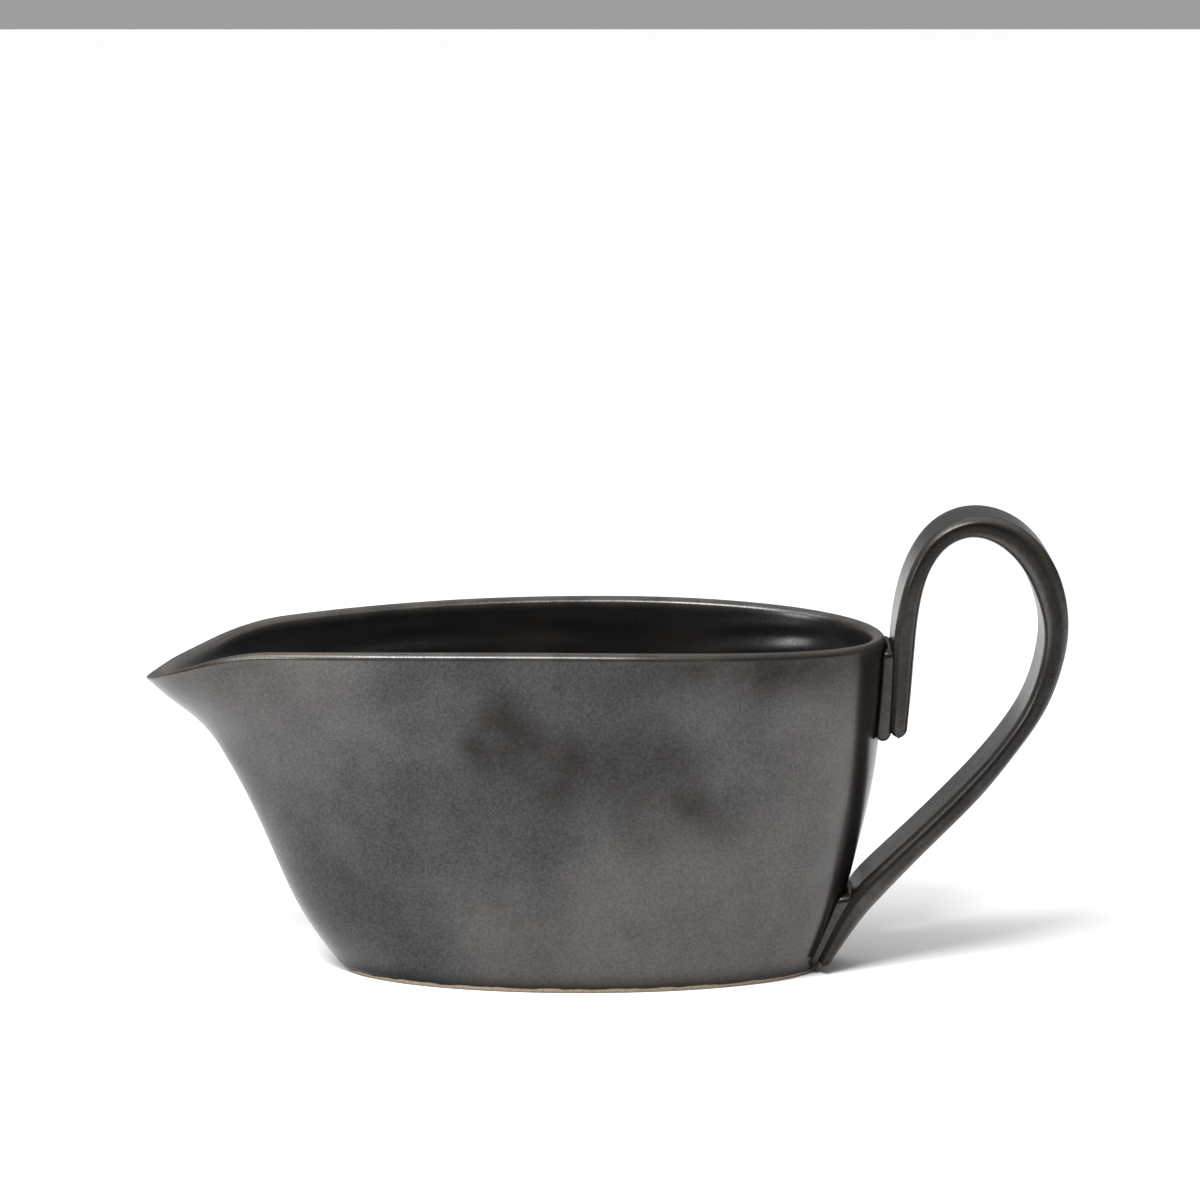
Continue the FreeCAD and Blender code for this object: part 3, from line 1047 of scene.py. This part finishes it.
@dataclass(frozen=True)
class SatinGlaze:
    """Near-black satin glaze on pale clay: clouds, fine specks and a lighter brown painted onto edges as
    a painted highlight.
    """

    name: str = "satin_glaze"
    deep: tuple[float, float, float] = (0.004, 0.004, 0.004)
    slate: tuple[float, float, float] = (0.007, 0.007, 0.008)
    umber: tuple[float, float, float] = (0.011, 0.008, 0.006)
    # The next two set the lighter brown painted onto the rim and strap edges as a painted highlight, and
    # how strongly it is laid on.
    thin: tuple[float, float, float] = (0.060, 0.050, 0.040)
    edge_highlight_share: float = 0.5
    clay: tuple[float, float, float] = (0.27, 0.22, 0.165)
    clay_shade: float = 0.72
    cool_sheen: tuple[float, float, float] = (0.97, 0.98, 1.0)
    warm_sheen: tuple[float, float, float] = (1.0, 0.975, 0.945)
    pool_and_shade_tint: tuple[float, float, float] = (1.0, 0.92, 0.85)
    pool_and_shade_loss: float = 0.68
    # How far the occlusion mask reaches that paints shade into creases and corners.
    crease_shade_reach: float = 6.0
    index: float = 1.9
    least_sheen: float = 0.215
    sheen: float = 0.11
    roughness: float = 0.23
    clay_roughness: float = 0.9
    clay_height: float = 1.05
    clay_blur: float = 0.12
    clay_wobble: float = 1.2
    relief_strength: float = 0.5
    relief_depth: float = 0.5

    def build(self) -> bpy.types.Material:
        """Make the material."""
        material = bpy.data.materials.new(self.name)
        kit = NodeKit(material, "Object")
        surface = kit.nodes["Principled BSDF"]
        patterns = self.patterns(kit)
        kit.links.new(self.colour(kit, patterns), surface.inputs["Base Color"])
        kit.links.new(self.gloss(kit, patterns), surface.inputs["Specular IOR Level"])
        kit.links.new(self.tint(kit, patterns), surface.inputs["Specular Tint"])
        kit.links.new(self.dullness(kit, patterns), surface.inputs["Roughness"])
        surface.inputs["IOR"].default_value = self.index
        kit.links.new(self.relief(kit, patterns), surface.inputs["Normal"])
        return material

    def patterns(self, kit: NodeKit) -> Patterns:
        """Lay out the clouds, the specks, the pools with the painted shade on the strap and pads, and the
        line where the glaze ends.
        """
        blotches = kit.texture(80.0, 4.0, 0.62)
        # The pool mask holds the glaze pools on the bowl and the painted shade on the strap's flats and
        # the pads.
        broken = kit.combine("MULTIPLY", kit.mask("pool_and_shade"), kit.between(blotches, 0.25, 0.75, 0.45, 1.25))
        wobble = kit.combine("SUBTRACT", kit.texture(160.0, 2.0, 0.5), 0.5)
        wobble = kit.combine("MULTIPLY", wobble, self.clay_wobble * MM)
        height = kit.combine("ADD", kit.split_place()["Z"], wobble)
        low, high = self.clay_height - self.clay_blur, self.clay_height + self.clay_blur
        return Patterns(
            patches=kit.texture(15.0, 3.0, 0.5),
            warmth=kit.texture(13.0, 2.0, 0.5),
            blotches=blotches,
            grain=kit.texture(1500.0, 2.0, 0.6),
            pooled_and_shaded=kit.between(broken, 0.0, 1.0, 0.0, 1.0),
            glazed=kit.between(height, low * MM, high * MM, 0.0, 1.0),
        )

    def colour(self, kit: NodeKit, patterns: Patterns) -> bpy.types.NodeSocket:
        """Dark glaze in three tones, with a lighter brown painted onto edges as a painted highlight, over
        sandy clay.
        """
        toned = kit.blend(kit.between(patterns.warmth, 0.42, 0.60, 0.0, 1.0), self.slate, self.umber)
        toned = kit.blend(kit.between(patterns.patches, 0.40, 0.58, 0.0, 1.0), self.deep, toned)
        # Painted highlight: the edge mask, broken up by blotches, lightens rims and strap edges towards a
        # lighter brown.
        painted_edge_highlight = kit.between(patterns.blotches, 0.3, 0.7, 0.35, 1.0)
        painted_edge_highlight = kit.combine("MULTIPLY", kit.mask("edge"), painted_edge_highlight)
        toned = kit.blend(kit.combine("MULTIPLY", painted_edge_highlight, self.edge_highlight_share), toned, self.thin)
        shaded = tuple(self.clay_shade * part for part in self.clay)
        sandy = kit.blend(kit.between(patterns.grain, 0.4, 0.7, 0.0, 1.0), self.clay, shaded)
        return kit.blend(patterns.glazed, sandy, toned)

    def gloss(self, kit: NodeKit, patterns: Patterns) -> bpy.types.NodeSocket:
        """How strongly the glaze mirrors: less in glaze pools and in the painted shade on the strap's
        flats and the pads, much less in creases and corners where shade is painted, and not at all on the
        clay.
        """
        cloudy = kit.between(patterns.patches, 0.38, 0.60, 0.0, self.sheen)
        sheen = kit.combine("ADD", cloudy, self.least_sheen)
        sheen = kit.combine("ADD", sheen, kit.between(patterns.blotches, 0.35, 0.65, -0.025, 0.025))
        sheen = kit.combine("ADD", sheen, kit.between(patterns.grain, 0.3, 0.7, -0.05, 0.05))
        # Sheen is lost in the glaze pools and in the painted shade.
        kept = kit.combine("SUBTRACT", 1.0, kit.combine("MULTIPLY", patterns.pooled_and_shaded, self.pool_and_shade_loss))
        # Painted shade: an occlusion mask dulls the sheen at the joints and in inner corners.
        painted_crease_shade = kit.nodes.new("ShaderNodeAmbientOcclusion")
        painted_crease_shade.inputs["Distance"].default_value = self.crease_shade_reach * MM
        painted_crease_shade.samples = 6
        open_share = kit.between(painted_crease_shade.outputs["AO"], 0.35, 0.97, 0.08, 1.0)
        sheen = kit.combine("MULTIPLY", kit.combine("MULTIPLY", sheen, kept), open_share)
        return kit.combine("MULTIPLY", sheen, patterns.glazed)

    def tint(self, kit: NodeKit, patterns: Patterns) -> bpy.types.NodeSocket:
        """The colour of what the glaze mirrors: cool and warm clouds, and brown in the pools and in the
        painted shade.
        """
        warm = kit.between(patterns.warmth, 0.40, 0.60, 0.0, 1.0)
        cloudy = kit.blend(warm, self.cool_sheen, self.warm_sheen)
        return kit.blend(patterns.pooled_and_shaded, cloudy, self.pool_and_shade_tint)

    def dullness(self, kit: NodeKit, patterns: Patterns) -> bpy.types.NodeSocket:
        """How rough the glaze and the bare clay are."""
        satin = kit.combine("ADD", kit.between(patterns.patches, 0.3, 0.7, 0.06, -0.04), self.roughness)
        bare = kit.combine("MULTIPLY", kit.combine("SUBTRACT", 1.0, patterns.glazed), self.clay_roughness)
        return kit.combine("ADD", kit.combine("MULTIPLY", satin, patterns.glazed), bare)

    def relief(self, kit: NodeKit, patterns: Patterns) -> bpy.types.NodeSocket:
        """Fine pebbling over slow swells."""
        pebbled = kit.combine("MULTIPLY", patterns.grain, 0.35)
        pebbled = kit.combine("ADD", kit.texture(420.0, 2.0, 0.5), pebbled)
        swells = kit.combine("ADD", kit.combine("MULTIPLY", pebbled, 0.06), kit.texture(48.0, 1.0, 0.4))
        bump = kit.nodes.new("ShaderNodeBump")
        bump.inputs["Strength"].default_value = self.relief_strength
        bump.inputs["Distance"].default_value = self.relief_depth * MM
        kit.links.new(swells, bump.inputs["Height"])
        return bump.outputs["Normal"]


@dataclass(frozen=True)
class Lamp:
    """A flat lamp that looks at the bowl. Place and size in millimetres, power in watts."""

    name: str
    place: tuple[float, float, float]
    size: tuple[float, float]
    power: float
    aim: tuple[float, float, float] = (0.0, 0.0, 80.0)

    def build(self) -> None:
        """Hang the lamp."""
        light = bpy.data.lights.new(self.name, "AREA")
        light.shape = "RECTANGLE"
        light.size, light.size_y = (side * MM for side in self.size)
        light.energy = self.power
        holder = bpy.data.objects.new(self.name, light)
        holder.location = Vector(self.place) * MM
        target = Vector(self.aim) * MM
        holder.rotation_euler = (target - holder.location).to_track_quat("-Z", "Y").to_euler()
        bpy.context.scene.collection.objects.link(holder)


@dataclass(frozen=True)
class Studio:
    """Pale sweep, soft light and camera. Distances in millimetres."""

    camera_place: tuple[float, float, float] = (4.5, -1100.0, 287.0)
    camera_fall: float = 10.168
    lens: float = 140.5
    sensor_width: float = 36.0
    farthest: float = 50000.0
    paper: float = 0.93
    paper_roughness: float = 0.9
    paper_half: float = 4000.0
    front_to_back: tuple[float, float, float, float] = (-0.4, 0.8, 0.04, 0.34)
    low_to_high: tuple[float, float, float, float] = (0.42, 0.92, 0.0, 1.12)
    sun_place: tuple[float, float, float] = (-620.0, -260.0, 760.0)
    sun_strength: float = 1.36
    sun_angle: float = 40.0
    strip: Lamp = Lamp("strip", (-170.0, -430.0, 620.0), (400.0, 78.0), 7.2)
    side: Lamp = Lamp("side", (-650.0, -420.0, 330.0), (200.0, 130.0), 1.35)

    def build(self) -> None:
        """Set up the whole stage."""
        self.floor()
        self.lights()
        self.camera()
        self.surround()
        bpy.context.scene.view_settings.view_transform = "Standard"

    def surround(self) -> None:
        """Hang white all round, brighter towards the back and towards the top."""
        world = bpy.data.worlds.new("studio_white")
        kit = NodeKit(world, "Generated")
        place = kit.split_place()
        behind = kit.between(place["Y"], *self.front_to_back)
        above = kit.between(place["Z"], *self.low_to_high)
        background = kit.nodes["Background"]
        background.inputs["Color"].default_value = (1.0, 1.0, 1.0, 1.0)
        kit.links.new(kit.combine("ADD", behind, above), background.inputs["Strength"])
        bpy.context.scene.world = world

    def floor(self) -> None:
        """Lay a wide sheet of white paper."""
        half = self.paper_half
        near, far = [[[-half, y, 0.0], [half, y, 0.0]] for y in (-half, half)]
        corners = np.array([near, far])
        sheet = grid_object("paper_floor", corners, around=False, capped=False)
        material = bpy.data.materials.new("white_paper")
        material.use_nodes = True
        surface = material.node_tree.nodes["Principled BSDF"]
        surface.inputs["Base Color"].default_value = (self.paper, self.paper, self.paper, 1.0)
        surface.inputs["Roughness"].default_value = self.paper_roughness
        sheet.data.materials.append(material)

    def lights(self) -> None:
        """Let a wide soft light fall from the upper left, and hang a strip and a low side lamp."""
        lamp = bpy.data.lights.new("window", "SUN")
        lamp.energy = self.sun_strength
        lamp.angle = math.radians(self.sun_angle)
        holder = bpy.data.objects.new("window", lamp)
        holder.location = Vector(self.sun_place) * MM
        holder.rotation_euler = (-holder.location).to_track_quat("-Z", "Y").to_euler()
        bpy.context.scene.collection.objects.link(holder)
        self.strip.build()
        self.side.build()

    def camera(self) -> None:
        """Stand the camera in front of the near side, a little above the rim."""
        data = bpy.data.cameras.new("camera")
        data.lens = self.lens
        data.sensor_width = self.sensor_width
        data.clip_end = self.farthest * MM
        holder = bpy.data.objects.new("camera", data)
        holder.location = Vector(self.camera_place) * MM
        holder.rotation_euler = (math.radians(90.0 - self.camera_fall), 0.0, 0.0)
        bpy.context.scene.collection.objects.link(holder)
        bpy.context.scene.camera = holder


def place_piece(piece: bpy.types.Object, node: str, finish: bpy.types.Material) -> None:
    """Dress a finished piece and let it stand for its node.

    Args:
        piece: The finished piece.
        node: The node that it stands for.
        finish: The material that covers it.
    """
    piece.data.materials.clear()
    piece.data.materials.append(finish)
    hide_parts(node)
    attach(piece, "root")
    LOG.info("%s: %d faces", piece.name, len(piece.data.polygons))


def main() -> None:
    """Build every piece in order, then the stage."""
    logging.basicConfig(level=logging.INFO, format="%(message)s")
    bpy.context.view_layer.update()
    glaze = SatinGlaze().build()
    place_piece(Bowl().build(), "bowl", glaze)
    place_piece(StrapHandle().build(), "strap_handle", glaze)
    place_piece(Lute(Joint.UPPER, 56.9, 79.6).build(), "upper_lute", glaze)
    place_piece(Lute(Joint.LOWER, 1.5, 19.8).build(), "lower_lute", glaze)
    Studio().build()


if __name__ == "__main__":
    main()
